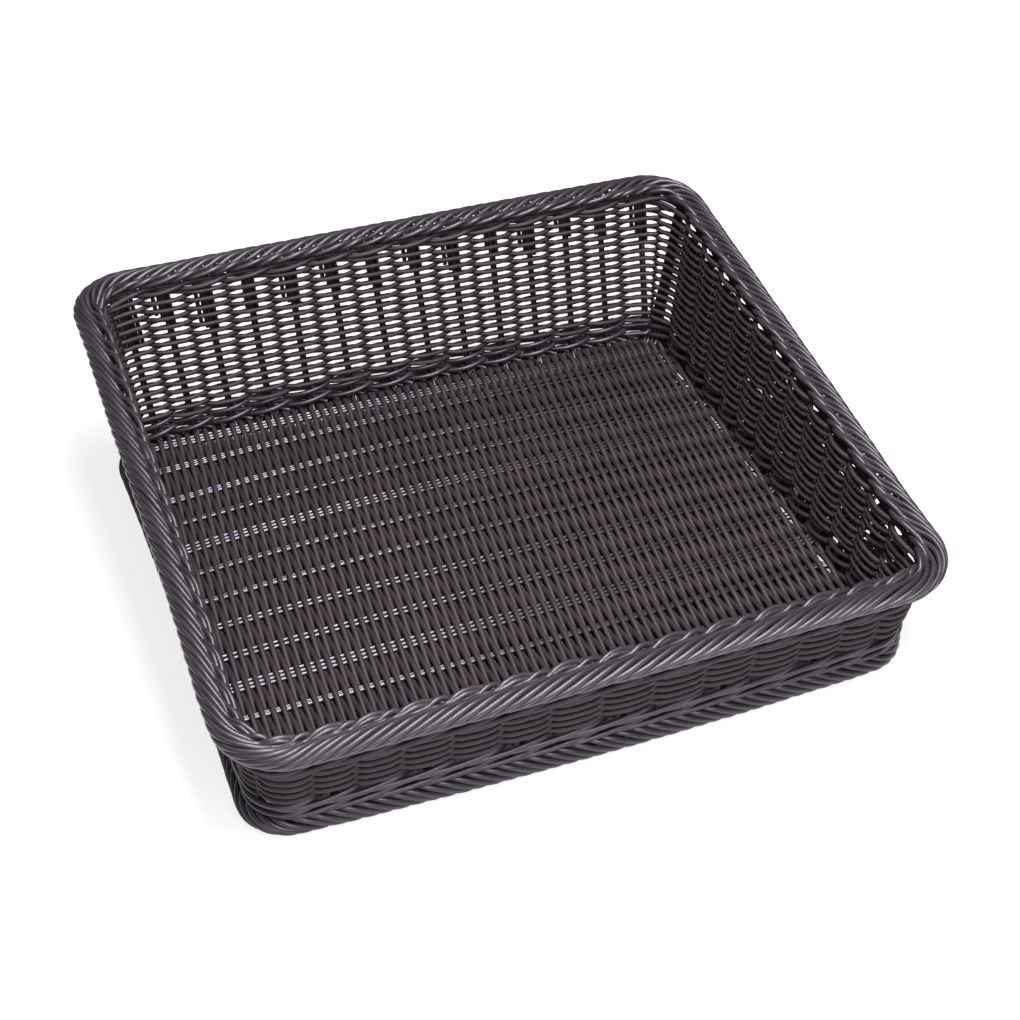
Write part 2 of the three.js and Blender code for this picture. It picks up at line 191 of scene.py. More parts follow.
def stake_shares(outline, side, back):
    """Share of the way round of each stake, anticlockwise from the front of the right side."""
    shares = []
    walls = [
        (0, 1, 1, side), (1, 0, -1, back[::-1]), (2, 1, -1, side[::-1]), (3, 0, 1, FRONT_PLACES),
    ]
    for quarter, axis, way, places in walls:
        # A wall is searched from half a corner before it to half a corner past it.
        reach = np.linspace(2 * quarter - 0.5, 2 * quarter + 1.5, SEARCH_STEPS) / 8
        along = outline.at_share(reach)[0][:, axis]
        shares.extend(np.interp(np.array(places) * way, along * way, reach))
    return np.array(shares)


low_stakes = stake_shares(wall_low_plan, SIDE_LOW, BACK_LOW)
high_stakes = stake_shares(wall_top_plan, SIDE_HIGH, BACK_HIGH)
BASE_BOW = 4.5
BOW_HALF_WIDTH = 178
BOW_MIDDLE = 45
BOW_HALF_DEPTH = 130


def base_height(x, y):
    """Height of the middle of the base, which bows up behind its middle."""
    across = np.clip(1 - np.abs(x / BOW_HALF_WIDTH) ** 3, 0, 1)
    deep = np.clip(1 - ((y - BOW_MIDDLE) / BOW_HALF_DEPTH) ** 2, 0, 1)
    return BASE_LEVEL + BASE_BOW * across * deep


# Places from front to back at which each side stake crosses the base: at the left wall, the
# middle and the right wall. Hand weaving has left them a little out of line.
SIDE_ROWS_AT = (-170, -10, 165)
SIDE_ROWS = [
    (-134.5, -134.5, -134.5), (-110, -111, -108), (-86.5, -87.5, -84), (-63, -64, -61.5),
    (-39.5, -39, -38), (-14.5, -15.5, -15), (8, 10.5, 9.5), (32.5, 34.5, 34), (55, 57.5, 57),
    (79, 83, 82.5), (101, 106, 107), (131, 134.5, 136.5), (156, 152, 148.5),
]
# The strands of each group, from front to back, by their distance from its middle.
SIDE_GROUPS = [
    (-1.4, 1.4), (-1.5, 1.5), (-1.0, 0, 1.0), (-2.85, 0, 2.85), (-1.5, 1.5), (-1.5, 1.5),
    (-1.0, 0, 1.0), (-1.1, 0, 1.1), (-2.85, 0, 2.85), (-1.2, 0, 1.2), (-1.7, 0, 1.7),
    (-2.0, 0, 2.0), (-2.8, 0, 2.8),
]
# Groups whose first strand strays forwards on the right half of the base, and how far.
LOOSE = {9: 3.5, 10: 4.0, 11: 3.0}
LOOSE_RUN = 120
BEND = 7.0
BEND_STEPS = 5
BEND_CLEAR = 3
ABOVE_BEND = 5
RISE_STEP = 6
UNDER_RIM = 5
FLAT_STEPS = 40


def side_row(index, x):
    """Place from front to back of a side stake on the base."""
    return np.interp(x, SIDE_ROWS_AT, SIDE_ROWS[index])


def wander(count, size, knots):
    """A slow random drift along a line, as hand weaving has."""
    rough = rng.normal(0, size, max(knots, 2))
    return np.interp(np.linspace(0, 1, count), np.linspace(0, 1, len(rough)), rough)


def rising_line(index, across, deep=0.0, low=None):
    """One strand of a stake, from the bend at the foot of the wall, or from the height `low`,
    to the underside of the rim. `across` is its place along the wall and `deep` through it."""
    def place(height):
        share = low_stakes[index] + (high_stakes[index] - low_stakes[index]) * part_at(height)
        point, normal = wall_point(np.array([share]), height)
        beside = np.array([-normal[0, 1], normal[0, 0]])
        return point[0] + beside * across + normal[0] * deep, normal[0]

    def part_at(height):
        return float(wall_part(high_stakes[index:index + 1], height)[0])

    rim_y = wall_top_plan.at_share(high_stakes[index:index + 1])[0][0, 1]
    top = rim_middle(rim_y) - UNDER_RIM
    line = []
    if low is None:
        point, normal = place(BASE_LEVEL)
        for angle in np.linspace(math.pi / 2, 0, BEND_STEPS)[1:]:
            out = -BEND + BEND * math.cos(angle)
            line.append([*(point + normal * out), BASE_LEVEL + BEND - BEND * math.sin(angle)])
        low = BASE_LEVEL + BEND + ABOVE_BEND
    heights = np.linspace(low, top, max(int((top - low) / RISE_STEP), 2))
    line.extend([*place(height)[0], height] for height in heights)
    return np.array(line)


def strand_tree():
    """Geometry Nodes tree that sweeps a round section along each line of a mesh."""
    tree = bpy.data.node_groups.new("round strand", "GeometryNodeTree")
    face = tree.interface
    face.new_socket("Lines", in_out="INPUT", socket_type="NodeSocketGeometry")
    face.new_socket("Thickness", in_out="INPUT", socket_type="NodeSocketFloat")
    face.new_socket("Section sides", in_out="INPUT", socket_type="NodeSocketInt")
    face.new_socket("Material", in_out="INPUT", socket_type="NodeSocketMaterial")
    face.new_socket("Strands", in_out="OUTPUT", socket_type="NodeSocketGeometry")
    add, link = tree.nodes.new, tree.links.new
    given = add("NodeGroupInput")
    lines = add("GeometryNodeMeshToCurve")
    link(given.outputs["Lines"], lines.inputs["Mesh"])
    half = add("ShaderNodeMath")
    half.operation = "MULTIPLY"
    half.inputs[1].default_value = 0.5
    link(given.outputs["Thickness"], half.inputs[0])
    section = add("GeometryNodeCurvePrimitiveCircle")
    link(given.outputs["Section sides"], section.inputs["Resolution"])
    link(half.outputs[0], section.inputs["Radius"])
    place = add("GeometryNodeInputPosition")
    unit = add("ShaderNodeVectorMath")
    unit.operation = "NORMALIZE"
    link(place.outputs[0], unit.inputs[0])
    keep = add("GeometryNodeCaptureAttribute")
    keep.capture_items.new("VECTOR", "ring")
    link(section.outputs["Curve"], keep.inputs["Geometry"])
    link(unit.outputs[0], keep.inputs["ring"])
    sweep = add("GeometryNodeCurveToMesh")
    sweep.inputs["Fill Caps"].default_value = True
    link(lines.outputs["Curve"], sweep.inputs["Curve"])
    link(keep.outputs["Geometry"], sweep.inputs["Profile Curve"])
    store = add("GeometryNodeStoreNamedAttribute")
    store.data_type = "FLOAT_VECTOR"
    store.domain = "POINT"
    store.inputs["Name"].default_value = "ring"
    link(sweep.outputs["Mesh"], store.inputs["Geometry"])
    link(keep.outputs["ring"], store.inputs["Value"])
    smooth = add("GeometryNodeSetShadeSmooth")
    link(store.outputs[0], smooth.inputs["Geometry"])
    whole = add("GeometryNodeRealizeInstances")
    link(smooth.outputs[0], whole.inputs[0])
    finish = add("GeometryNodeSetMaterial")
    link(whole.outputs[0], finish.inputs["Geometry"])
    link(given.outputs["Material"], finish.inputs["Material"])
    result = add("NodeGroupOutput")
    link(finish.outputs[0], result.inputs["Strands"])
    return tree


STRAND_TREE = strand_tree()
# Places where the basket has gone soft, as (place, reach, pull).
PULLS = [
    ((-190, 165, 118), (30, 30, 22), (-2.4, 1.2, 0.4)),
    ((-192, 85, 108), (16, 60, 24), (-1.2, 0, 0)),
    ((-187, 60, 6), (12, 90, 12), (1.0, 0, 0)),
    ((-190, -135, 70), (18, 45, 24), (-1.9, 0, -0.4)),
    ((190, -165, 72), (25, 30, 22), (2.2, -0.4, 0)),
    ((180, -150, 45), (18, 25, 18), (1.6, -0.2, 0)),
    ((184, -158, 6), (22, 22, 12), (-1.5, 1.0, 0)),
]


def settled(points):
    """Points after the soft corners have been pulled a few millimetres out of true."""
    moved = points.copy()
    for place, reach, pull in PULLS:
        away = (points - np.array(place)) / np.array(reach)
        moved += np.exp(-(away ** 2).sum(axis=1))[:, None] * np.array(pull)
    return moved


def strand_piece(name, lines, material, nodes, thickness=STRAND, sides=8):
    """One object from many lines of points in millimetres. A line is (points, closed)."""
    points, edges, shade, along = [], [], [], []
    start = 0
    for line, closed in lines:
        count = len(line)
        points.append(settled(line))
        index = np.arange(start, start + count)
        edges.append(np.column_stack([index[:-1], index[1:]]))
        if closed:
            edges.append([[index[-1], index[0]]])
        step = np.linalg.norm(np.diff(line, axis=0), axis=1)
        along.append(np.concatenate([[0], np.cumsum(step)]))
        shade.append(np.full(count, rng.random()))
        start += count
    mesh = bpy.data.meshes.new(name)
    mesh.from_pydata((np.vstack(points) * MM).tolist(), np.vstack(edges).tolist(), [])
    for label, values in (("shade", shade), ("along", along)):
        kept = mesh.attributes.new(label, "FLOAT", "POINT")
        kept.data.foreach_set("value", np.concatenate(values).astype(np.float32))
    guide = bpy.data.objects.new(name + " lines", mesh)
    bpy.context.scene.collection.objects.link(guide)
    sweep = guide.modifiers.new("strands", "NODES")
    sweep.node_group = STRAND_TREE
    socket = {item.name: item.identifier for item in STRAND_TREE.interface.items_tree}
    sweep[socket["Thickness"]] = thickness * MM
    sweep[socket["Section sides"]] = sides
    sweep[socket["Material"]] = material
    graph = bpy.context.evaluated_depsgraph_get()
    swept = bpy.data.meshes.new_from_object(guide.evaluated_get(graph))
    bpy.data.objects.remove(guide)
    piece = bpy.data.objects.new(name, swept)
    bpy.context.scene.collection.objects.link(piece)
    swept.name = name
    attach(piece, "root")
    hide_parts(*nodes)


class Wire:
    """A node socket that Python operators can do shader maths with."""

    def __init__(self, tree, socket):
        self.tree = tree
        self.socket = socket

    def _maths(self, operation, *values):
        settings = {"operation": operation}
        return Nodes(self.tree).add("ShaderNodeMath", settings, dict(enumerate(values)))

    def __add__(self, other):
        return self._maths("ADD", self, other)

    __radd__ = __add__

    def __mul__(self, other):
        return self._maths("MULTIPLY", self, other)

    __rmul__ = __mul__

    def __sub__(self, other):
        return self._maths("SUBTRACT", self, other)

    def __rsub__(self, other):
        return self._maths("SUBTRACT", other, self)


class Nodes:
    """Adds nodes to a material's tree, and links or sets their sockets."""

    def __init__(self, tree):
        self.tree = tree

    def add(self, kind, settings=None, values=None, output=0):
        node = self.tree.nodes.new(kind)
        for key, value in (settings or {}).items():
            if key == "stops":
                self._set_stops(node.color_ramp, value)
            else:
                setattr(node, key, value)
        for key, value in (values or {}).items():
            if isinstance(value, Wire):
                self.tree.links.new(value.socket, node.inputs[key])
            else:
                node.inputs[key].default_value = value
        return Wire(self.tree, node.outputs[output]) if node.outputs else None

    def _set_stops(self, ramp, stops):
        while len(ramp.elements) > len(stops):
            ramp.elements.remove(ramp.elements[-1])
        while len(ramp.elements) < len(stops):
            ramp.elements.new(1)
        for element, (position, colour) in zip(ramp.elements, stops):
            element.position = position
            element.color = (*colour, 1)


# Die lines and patches are noise: how far apart two strands read it, and how fast it changes
# along a strand. Then what the strand's shade and the noise give to roughness and tone.
LINES_APART, LINES_ALONG, LINES_ROUND = 900.0, 0.02, 3.2
PATCHES_APART, PATCHES_ALONG = 410.0, 0.045
ROUGH_SHARE = 0.14
TONE_BY_STRAND, TONE_BY_PATCH, TONE_OFFSET = 0.7, 0.55, 0.12
LINE_DARKEST, LINE_RANGE = 0.6, 0.8
LINE_DEPTH = 0.0001


def strand_material(name, dark, middle, warm, roughness, coat):
    """Extruded plastic: each strand has its own shade, die lines and rubbed or dusty patches."""
    material = bpy.data.materials.new(name)
    material.use_nodes = True
    tree = material.node_tree
    tree.nodes.clear()
    nodes = Nodes(tree)
    shade = nodes.add("ShaderNodeAttribute", {"attribute_name": "shade"}, output=2)
    along = nodes.add("ShaderNodeAttribute", {"attribute_name": "along"}, output=2)
    ring = nodes.add("ShaderNodeAttribute", {"attribute_name": "ring"}, output=1)
    own = nodes.add("ShaderNodeCombineXYZ", None,
                    {0: 0.0, 1: shade * LINES_APART, 2: along * LINES_ALONG})
    grain_place = nodes.add("ShaderNodeVectorMath", {"operation": "ADD"}, {0: ring, 1: own})
    die_lines = nodes.add("ShaderNodeTexNoise", None,
                          {"Vector": grain_place, "Scale": LINES_ROUND, "Detail": 3.0,
                           "Roughness": 0.6})
    patch_place = nodes.add("ShaderNodeCombineXYZ", None,
                            {0: along * PATCHES_ALONG, 1: shade * PATCHES_APART, 2: 0.0})
    patches = nodes.add("ShaderNodeTexNoise", None,
                        {"Vector": patch_place, "Scale": 1.0, "Detail": 2.0, "Roughness": 0.5})
    stops = [(0.0, dark), (0.5, middle), (0.82, middle), (1.0, warm)]
    tone = nodes.add("ShaderNodeValToRGB", {"stops": stops},
                     {0: shade * TONE_BY_STRAND + patches * TONE_BY_PATCH - TONE_OFFSET})
    line_tone = die_lines * LINE_RANGE + LINE_DARKEST
    line_colour = nodes.add("ShaderNodeCombineColor", None,
                            {0: line_tone, 1: line_tone, 2: line_tone})
    lined = nodes.add("ShaderNodeMix", {"data_type": "RGBA", "blend_type": "MULTIPLY"},
                      {0: 0.5, 6: tone, 7: line_colour}, output=2)
    bump = nodes.add("ShaderNodeBump", None,
                     {"Strength": 0.12, "Distance": LINE_DEPTH, "Height": die_lines})
    shine = nodes.add("ShaderNodeBsdfPrincipled", None, {
        "Base Color": lined,
        "Roughness": die_lines * ROUGH_SHARE + patches * ROUGH_SHARE + (roughness - ROUGH_SHARE),
        "IOR": 1.5,
        "Coat Weight": coat,
        "Coat Roughness": 0.3,
        "Normal": bump,
    })
    nodes.add("ShaderNodeOutputMaterial", None, {"Surface": shine})
    return material


# The stakes are coloured far darker than the other strands: painted shade, standing in for the
# shadow they lie in between and behind the weavers. Their gloss is the plastic's own.
stake_strand_painted_shade = strand_material("stake strand", dark=(0.011, 0.009, 0.011),
                               middle=(0.017, 0.014, 0.017), warm=(0.023, 0.019, 0.021),
                               roughness=0.23, coat=1.0)
side_lines = []
for index, group in enumerate(SIDE_GROUPS):
    right, left = index, FRONT_FIRST - 1 - index
    for number, shift in enumerate(group):
        up_right = rising_line(right, shift)
        up_left = rising_line(left, -shift)
        x = np.linspace(up_left[0][0] + BEND_CLEAR, up_right[0][0] - BEND_CLEAR, FLAT_STEPS)
        loose = LOOSE.get(index, 0) if number == 0 else 0
        y = side_row(index, x) + shift + wander(FLAT_STEPS, size=0.1, knots=8)
        y = y - loose * np.clip(x / LOOSE_RUN, 0, 1)
        flat = np.column_stack([x, y, base_height(x, y)])
        side_lines.append((np.vstack([up_left[::-1], flat, up_right]), False))
strand_piece("side_stakes", side_lines, stake_strand_painted_shade,
             [f"side_stake_{index + 1:02d}" for index in range(SIDE_STAKES)],
             thickness=SIDE_STRAND)

# Front and back stakes
# Fourteen groups at the front and fourteen at the back, tucked under the edge of the base.
# Each is a pair of strands pressed together. Short extra strands are pushed in beside the
# back ones to fill out the rim.
PAIR = ((-0.9, 0.8), (0.95, -0.8))
TUCK_IN = 10
TUCK_DOWN = 3.6


def end_stake_lines(first):
    """The pairs of one wall, from their tucked tails to the rim."""
    lines = []
    for index in range(first, first + END_STAKES):
        for across, deep in PAIR:
            up = rising_line(index, across + rng.normal(0, 0.1), deep)
            outward = wall_low_plan.at_share(low_stakes[index:index + 1])[1][0]
            inner = [*(up[0][:2] - outward * TUCK_IN), BASE_LEVEL - TUCK_DOWN]
            lines.append((np.vstack([inner, up]), False))
    return lines


# Height at which the extra strands beside each back stake start, and the place of each
# beside its stake with how much higher it starts. One stake in three lacks the last one.
EXTRA_LOW = [84, 90, 96, 88, 95, 84, 92, 86, 90, 84, 86, 78, 88, 78]
EXTRA_BESIDE = ((-2.9, 0), (2.9, 4), (6.2, 9))
# The strands beside the last back stake, at the left corner, with their depth in the wall.
CORNER_EXTRA = ((-5.8, 0), (-2.9, 0.3), (2.9, -0.4), (5.8, -1.3), (8.7, -2.8))
CORNER_LOW = 78


def extra_lines():
    """Short strands beside the back stakes, from the rim down between the upper rows."""
    lines = []
    for number, low in enumerate(EXTRA_LOW):
        beside = EXTRA_BESIDE[:-1] if number % 3 == 1 else EXTRA_BESIDE
        for across, more in beside:
            up = rising_line(BACK_FIRST + number, across, rng.normal(0, 0.3), low + more)
            lines.append((up, False))
    for across, deep in CORNER_EXTRA:
        lines.append((rising_line(LEFT_FIRST - 1, across, deep, CORNER_LOW), False))
    return lines


strand_piece("front_stakes", end_stake_lines(FRONT_FIRST), stake_strand_painted_shade,
             [f"front_stake_{index + 1:02d}" for index in range(END_STAKES)])
strand_piece("back_stakes", end_stake_lines(BACK_FIRST) + extra_lines(), stake_strand_painted_shade,
             [f"back_stake_{index + 1:02d}" for index in range(END_STAKES)])

# Base weave
# Single plastic strands run from front to back, over one side stake and under the next,
# packed so close that little but the stakes shows between them. They lean slightly to the
# right at the back.
weave_strand = strand_material("weave strand", dark=(0.028, 0.022, 0.022),
                               middle=(0.040, 0.032, 0.032), warm=(0.054, 0.041, 0.037),
                               roughness=0.56, coat=0.0)
BASE_STRAND = 3.3
BASE_PITCH = 2.87
BASE_SWING = 2.35
BASE_HALF_WIDTH = 181.5
BASE_PAST_WALL = 1.5
BASE_STEP = 3.2
WEAVE_SIDES = 7
# Where the rows before the first and after the last side stake would lie.
ROW_BEFORE, ROW_AFTER = 24, 22
# The strands lean to the right from here on, ever more, but not along the right wall.
SWAY_FROM = -90
SWAY_LEAN, SWAY_CURVE = 0.01, 0.00007
SWAY_END, SWAY_EASE = 178, 40
half_x, half_y, radius, _, end_bow, shift_y = wall_low_plan.grown(BASE_PAST_WALL).sizes
count = int(2 * BASE_HALF_WIDTH / BASE_PITCH)
base_lines = []
for index in range(count):
    x = (index - (count - 1) / 2) * BASE_PITCH
    past = max(abs(x) - (half_x - radius), 0)
    round_corner = math.sqrt(max(radius ** 2 - past ** 2, 0))
    reach = half_y - radius + round_corner + end_bow * (1 - (x / half_x) ** 2)
    y = np.arange(shift_y - reach, shift_y + reach, BASE_STEP)
    rows = np.array([side_row(row, x) for row in range(SIDE_STAKES)])
    rows = np.concatenate([[rows[0] - ROW_BEFORE], rows, [rows[-1] + ROW_AFTER]])
    passed = np.interp(y, rows, np.arange(-1, SIDE_STAKES + 1))
    swing = np.cos(math.pi * (passed + index))
    z = base_height(x, y) + BASE_SWING * swing + wander(len(y), size=0.08, knots=14)
    behind = np.maximum(y - SWAY_FROM, 0)
    sway = SWAY_LEAN * behind + SWAY_CURVE * behind ** 2
    sway = sway * np.clip((SWAY_END - x) / SWAY_EASE, 0, 1) + wander(len(y), size=0.1, knots=12)
    base_lines.append((np.column_stack([x + sway, y, z]), False))
strand_piece("base_weave_strands", base_lines, weave_strand, ["base_weave"],
             thickness=BASE_STRAND, sides=WEAVE_SIDES)

# Wall weave
# Rows of single plastic strand run round the basket, outside one stake and inside the next.
# Rows that meet the falling rim end there, so the back has more rows than the front, and
# they are packed closer at the front.
WALL_STRAND = 3.0
WALL_ROWS = 40
WALL_STEPS = 640
WALL_LOW = 25.0
FRONT_PITCH = 2.6
BACK_PITCH = 2.9
SWING = 2.7
# Above 1, a strand swings over faster and lies flatter against the stakes.
SWING_SHARPNESS = 1.5
HALF_DEPTH = 168
FRONT_WALE = 49.3
# Room that the rows leave below the top wale and beside the wale in the front wall.
BELOW_TOP_WALE = 2.4
BESIDE_FRONT_WALE = 3.4
FRONT_WALL_END = -110
# A row's stretch of no more steps than this is left out.
SHORTEST = 5
# The rows are more uneven at the front of the right wall than elsewhere.
MORE_UNEVEN = 6
UNEVEN_FROM_X, UNEVEN_OVER_X = 150, 30
UNEVEN_UP_TO_Y = 70
TOP_WALE_DROP = 6
TOP_WALE_DROP_LESS = 1.5
STAKE_COUNT = len(low_stakes)


def stake_phase(share, part):
    """How many stakes have been passed at a share of the way round, with fractions. `part`
    is how far up the wall that is."""
    passed = np.arange(-STAKE_COUNT, 2 * STAKE_COUNT)
    phases = []
    for plan, stakes in ((wall_low_plan, low_stakes), (wall_top_plan, high_stakes)):
        at = plan.run_of_share(stakes)
        keys = np.concatenate([at - plan.length, at, at + plan.length])
        phases.append(np.interp(plan.run_of_share(np.mod(share, 1)), keys, passed))
    return phases[0] + (phases[1] - phases[0]) * part


def from_front(y):
    """0 at the front wall, 1 at the back wall."""
    return np.clip((y + HALF_DEPTH) / (2 * HALF_DEPTH), 0, 1)


def top_wale_height(y):
    """The wale lies under the rim, a little closer to it at the back."""
    return rim_middle(y) - TOP_WALE_DROP + TOP_WALE_DROP_LESS * from_front(y)


def stretches(inside):
    """The unbroken runs of True in a closed row, as lists of places."""
    if inside.all():
        return [np.arange(len(inside))]
    starts = np.flatnonzero(inside & ~np.roll(inside, 1))
    found = []
    for start in starts:
        turned = np.roll(inside, -start)
        found.append((start + np.arange(int(np.argmin(turned)))) % len(inside))
    return [places for places in found if len(places) > SHORTEST]


shares = wall_top_plan.even_shares(WALL_STEPS)
plan_x, plan_y = wall_top_plan.at_share(shares)[0].T
pitch = FRONT_PITCH + (BACK_PITCH - FRONT_PITCH) * from_front(plan_y)
at_right = np.clip((plan_x - UNEVEN_FROM_X) / UNEVEN_OVER_X, 0, 1)
at_front = np.clip((UNEVEN_UP_TO_Y - plan_y) / UNEVEN_UP_TO_Y, 0, 1)
uneven = 1 + MORE_UNEVEN * at_right * at_front
wall_lines = []
for row in range(WALL_ROWS):
    height = WALL_LOW + row * pitch
    near_wale = (np.abs(height - FRONT_WALE) < BESIDE_FRONT_WALE) & (plan_y < FRONT_WALL_END)
    inside = (height < top_wale_height(plan_y) - BELOW_TOP_WALE) & ~near_wale
    point, normal = wall_point(shares, height)
    swing = np.cos(math.pi * (stake_phase(shares, wall_part(shares, height)) + row))
    swing = np.tanh(SWING_SHARPNESS * swing) / math.tanh(SWING_SHARPNESS)
    out = SWING * swing + np.resize(wander(60, size=0.12, knots=60), len(shares))
    height = height + uneven * wander(len(shares), size=0.12, knots=70)
    line = np.column_stack([point + normal * out[:, None], height])
    for places in stretches(inside):
        wall_lines.append((line[places], len(places) == len(shares)))
wall_nodes = [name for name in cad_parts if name.endswith("_weave") and name != "base_weave"]
strand_piece("wall_weave_strands", wall_lines, weave_strand, wall_nodes,
             thickness=WALL_STRAND, sides=WEAVE_SIDES)

# Wales
# Bands of three plastic strands, each laid outside two stakes and inside one, in turn. Two
# bands lock the foot, one runs under the rim, and one more stiffens the low front wall.
border_strand = strand_material("border strand", dark=(0.026, 0.021, 0.024),
                                middle=(0.039, 0.032, 0.037), warm=(0.052, 0.042, 0.042),
                                roughness=0.40, coat=0.6)
FOOT_WALE_STRAND = 3.1
TOP_WALE_STRAND = 3.0
WALE_STEPS = 660
FRONT_WALE_END = -112
# Heights of the two bands at the foot, which climb by a millimetre over this depth.
LOWER_FOOT_WALE, UPPER_FOOT_WALE = 14.2, 21.2
FOOT_WALE_CLIMB = 200


def wale_lines(middle, rise, offset, swing_size, first_stake, front_only=False):
    """Three strands round the basket. `middle` gives the band's height from the plan's y."""
    lines = []
    at = wall_top_plan.even_shares(WALE_STEPS)
    plan_y = wall_top_plan.at_share(at)[0][:, 1]
    height = middle(plan_y)
    inside = plan_y < FRONT_WALE_END if front_only else np.full(len(at), True)
    point, normal = wall_point(at, height)
    for number in range(3):
        phase = np.mod(stake_phase(at, wall_part(at, height)) + 0.5 + number + first_stake, 3)
        outside = phase < 2
        swing = np.where(outside, np.sin(math.pi * np.clip(phase / 2, 0, 1)) ** 0.6,
                         -np.sin(math.pi * np.clip(phase - 2, 0, 1)) ** 0.8)
        climb = np.where(outside, phase / 2, 3 - phase) * 2 - 1
        out = offset + swing * swing_size
        z = height + rise * climb + wander(len(at), size=0.1, knots=60)
        line = np.column_stack([point + normal * out[:, None], z])
        for places in stretches(inside):
            lines.append((line[places], not front_only))
    return lines


bottom_lines = wale_lines(lambda y: LOWER_FOOT_WALE + y / FOOT_WALE_CLIMB,
                          rise=1.9, offset=1.0, swing_size=3.4, first_stake=0)
bottom_lines += wale_lines(lambda y: UPPER_FOOT_WALE + y / FOOT_WALE_CLIMB,
                           rise=2.0, offset=1.0, swing_size=3.4, first_stake=1)
strand_piece("bottom_wale_strands", bottom_lines, border_strand,
             ["bottom_wale"], thickness=FOOT_WALE_STRAND)
top_lines = wale_lines(top_wale_height, rise=1.7, offset=0.0, swing_size=2.9, first_stake=2)
top_lines += wale_lines(lambda y: np.full(len(y), FRONT_WALE),
                        rise=1.8, offset=0.5, swing_size=2.9, first_stake=1, front_only=True)
strand_piece("top_wale_strands", top_lines, weave_strand, [],
             thickness=TOP_WALE_STRAND)

# Rim border
# About three plastic strands from each stake lean out under the rim, slant up over the roll
# to the right, loop over its inner edge and are tucked down inside the wall.
CURVE_STEPS = 4


def smooth_line(keys):
    """A Catmull-Rom curve through key points."""
    keys = np.array(keys, float)
    padded = np.vstack([2 * keys[0] - keys[1], keys, 2 * keys[-1] - keys[-2]])
    result = []
    for index in range(len(keys) - 1):
        a, b, c, d = padded[index:index + 4]
        for t in np.arange(CURVE_STEPS) / CURVE_STEPS:
            bend = (2 * a - 5 * b + 4 * c - d) * t * t + (3 * b - a - 3 * c + d) * t ** 3
            result.append(0.5 * (2 * b + (c - a) * t + bend))
    result.append(keys[-1])
    return np.array(result)


# Each key is (run along the rim, out from the roll's middle, up from the roll's middle).
# The three strands of a stake end in three different loops.
OVER_ROLL = [(-8, -1.5, -5.4), (-2, 1.7, -4.6), (4, 4.5, -2.6), (11, 5.8, 0.1), (18, 5.3, 2.2),
             (25, 3.4, 3.6), (33, 0.6, 4.0), (40, -2.2, 2.6)]
TO_INSIDE = {
    "low sides": [
        [(46, -4.1, 1.6), (52, -4.3, 1.4), (58, -4.9, 2.4), (64, -6.1, 3.0), (70, -6.5, 1.8),
         (75, -5.6, 0.0)],
        [(45, -4.2, 1.8), (50, -6.1, 3.4), (56, -7.8, 3.6), (62, -8.5, 2.4), (68, -7.8, 0.8),
         (74, -5.4, -0.8)],
        [(45, -3.9, 1.4), (52, -4.8, 1.6), (57, -6.6, 2.8), (62, -7.8, 2.4), (67, -7.2, 0.4),
         (72, -5.0, -1.2)],
    ],
    "back": [
        [(45, -4.2, 2.4), (50, -6.6, 4.0), (56, -8.2, 3.2), (61, -7.8, 1.2), (66, -5.6, -0.6)],
        [(45, -4.2, 2.0), (50, -6.4, 3.6), (56, -8.1, 3.6), (62, -8.4, 2.2), (68, -7.4, 0.6),
         (74, -5.2, -0.8)],
        [(45, -3.6, 0.8), (50, -4.4, -0.6), (55, -4.2, -1.6)],
    ],
}
RIM_STRAND = 3.25
# A wide gap between two stakes, as at a corner, takes more than three strands.
PER_STAKE = 3
STRAND_SPACING = 8.8
# A strand starts this far along the rim before its own place.
START_BEFORE = 45
BACK_RIM_FROM = 120
rim_stakes = rim_plan.run_of_share(stake_shares(rim_plan, SIDE_HIGH, BACK_HIGH))
rim_stakes = np.append(rim_stakes, rim_stakes[0] + rim_plan.length)
rim_lines = []
for here, there in zip(rim_stakes[:-1], rim_stakes[1:]):
    together = max(PER_STAKE, round((there - here) / STRAND_SPACING))
    for number in range(together):
        start = here + (there - here) * number / together - START_BEFORE
        side = "back" if rim_plan.at_run(start)[0][0, 1] > BACK_RIM_FROM else "low sides"
        keys = smooth_line(OVER_ROLL + TO_INSIDE[side][number % PER_STAKE])
        point, normal = rim_plan.at_run(start + keys[:, 0] + rng.normal(0, 0.3))
        place = point + normal * (keys[:, 1] + wander(len(keys), size=0.1, knots=6))[:, None]
        z = rim_middle(place[:, 1]) + keys[:, 2] + wander(len(keys), size=0.1, knots=6)
        rim_lines.append((np.column_stack([place, z]), False))
strand_piece("rim_border_strands", rim_lines, border_strand, ["rim_border"],
             thickness=RIM_STRAND)

# Rim corner filling
# At the corners the rolled strands fan out, and two thicker strands of the same plastic lie
# under them round each corner and close the roll.
FILLING_STRAND = 3.8
FILLING = ((1.9, 0.2), (-1.6, -0.4))
PAST_CORNER = 10
CORNER_STEPS = 24
corner_lines = []
for quarter in range(4):
    start, end = rim_plan.run_of_share(np.array([2 * quarter + 1, 2 * quarter + 2]) / 8)
    run = np.linspace(start - PAST_CORNER, end + PAST_CORNER, CORNER_STEPS)
    point, normal = rim_plan.at_run(run)
    for out, up in FILLING:
        place = point + normal * out
        corner_lines.append((np.column_stack([place, rim_middle(place[:, 1]) + up]), False))
strand_piece("rim_corner_strands", corner_lines, border_strand, [],
             thickness=FILLING_STRAND)

# Foot border
# The tails of the stakes, of the same plastic strand, wrap round the base the other way, down
# over the outside and in under the basket, which stands on them. There are three for each
# stake.
FOOT_STRAND = 3.3
FOOT_TAILS = 3 * STAKE_COUNT
